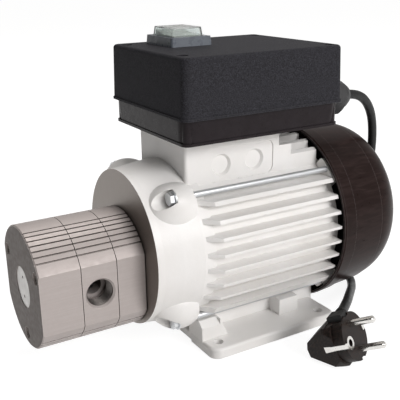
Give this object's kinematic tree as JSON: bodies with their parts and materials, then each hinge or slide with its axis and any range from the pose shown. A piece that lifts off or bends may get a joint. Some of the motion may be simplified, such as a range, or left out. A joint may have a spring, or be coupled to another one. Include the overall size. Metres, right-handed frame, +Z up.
{
  "type": "oil transfer pump",
  "caption": "Foot-mounted single-phase motor with a flanged external gear pump, switch box, angled earthed plug and coiled mains lead.",
  "frame": {"origin": "centre of the four foot holes on the base plane", "axes": "+X along the shaft from the pump head towards the fan cover, +Z up from the foot"},
  "size_m": [0.3025, 0.3109, 0.2195],
  "materials": {
    "white_paint": "semi-gloss white enamel over cast and moulded aluminium",
    "bare_aluminium": "unpainted, as cast",
    "pump_aluminium": "satin, fine-machined",
    "zinc_steel": "bright zinc plated",
    "machined_steel": "ground",
    "lamination_steel": "oxidised stack",
    "copper": "varnished enamelled wire",
    "bronze": "plain bearing bronze",
    "gasket": "dark sheet",
    "black_rubber": "matt",
    "cover_plastic": "moulded, satin sheen",
    "black_plastic": "moulded",
    "box_plastic": "fine spark-eroded texture",
    "gland_plastic": "moulded nylon",
    "switch_plastic": "moulded",
    "pale_plastic": "moulded, pale grey-green",
    "clear_cover": "clear moulded cover, translucent",
    "cord_sheath": "smooth sheath",
    "plug_rubber": "moulded, matt",
    "plug_metal": "nickel plated"
  },
  "bodies": {
    "pump": {"motor_frame": "white_paint", "front_shield": "white_paint", "rear_shield": "bare_aluminium", "tie_bolts": "zinc_steel", "tie_bolt_nuts": "zinc_steel", "stator_core": "lamination_steel", "stator_windings": "copper", "front_bearing": "machined_steel", "rear_bearing": "machined_steel", "fan_cover": "cover_plastic", "pump_front_cover": "pump_aluminium", "pump_gear_plate": "pump_aluminium", "pump_rear_cover": "pump_aluminium", "pump_gaskets": "gasket", "pump_screws": "zinc_steel", "idler_shaft": "machined_steel", "pump_bushes": "bronze", "shaft_seal": "black_rubber", "bypass_cap": "bare_aluminium", "terminal_base": "box_plastic", "terminal_cover": "box_plastic", "terminal_gasket": "black_rubber", "cover_screws": "zinc_steel", "base_screws": "zinc_steel", "capacitor": "bare_aluminium", "terminal_block": "switch_plastic", "switch_body": "switch_plastic", "switch_boot": "clear_cover", "gland_body": "gland_plastic", "gland_locknut": "gland_plastic", "gland_nut": "gland_plastic", "gland_seal": "black_rubber", "cord_from_gland": "cord_sheath", "cord_coil": "cord_sheath", "coil_tie": "gland_plastic", "cord_to_plug": "cord_sheath", "plug_body": "plug_rubber", "plug_pins": "plug_metal", "plug_earth_clips": "plug_metal", "plug_grommet": "plug_rubber"},
    "rotor": {"motor_shaft": "machined_steel", "rotor_core": "machined_steel", "bearing_inner_rings": "machined_steel", "fan": "black_plastic", "fan_clip": "machined_steel", "drive_gear": "machined_steel", "drive_key": "machined_steel"},
    "driven_gear": {"driven_gear": "machined_steel"},
    "switch_rocker": {"switch_rocker": "pale_plastic"},
    "bypass_valve": {"bypass_poppet": "bronze", "bypass_spring": "machined_steel"}
  },
  "joints": [
    {"name": "rotor_spin", "type": "hinge", "parent": "pump", "child": "rotor", "pos_m": [0, 0, 0.071], "axis": [1, 0, 0], "continuous": true},
    {"name": "driven_gear_spin", "type": "hinge", "parent": "pump", "child": "driven_gear", "pos_m": [-0.12365, 0, 0.045], "axis": [1, 0, 0], "continuous": true},
    {"name": "rocker_tilt", "type": "hinge", "parent": "pump", "child": "switch_rocker", "pos_m": [-0.0295, 0.0215, 0.2103], "axis": [1, 0, 0], "range_deg": [-14, 0]},
    {"name": "bypass_lift", "type": "slide", "parent": "pump", "child": "bypass_valve", "axis": [-1, 0, 0], "range_m": [0, 0.0012], "stiffness_N_per_m": 600, "springref_m": -0.004}
  ],
  "couplings": [
    {"joint": "driven_gear_spin", "follows": "rotor_spin", "ratio": -1}
  ]
}
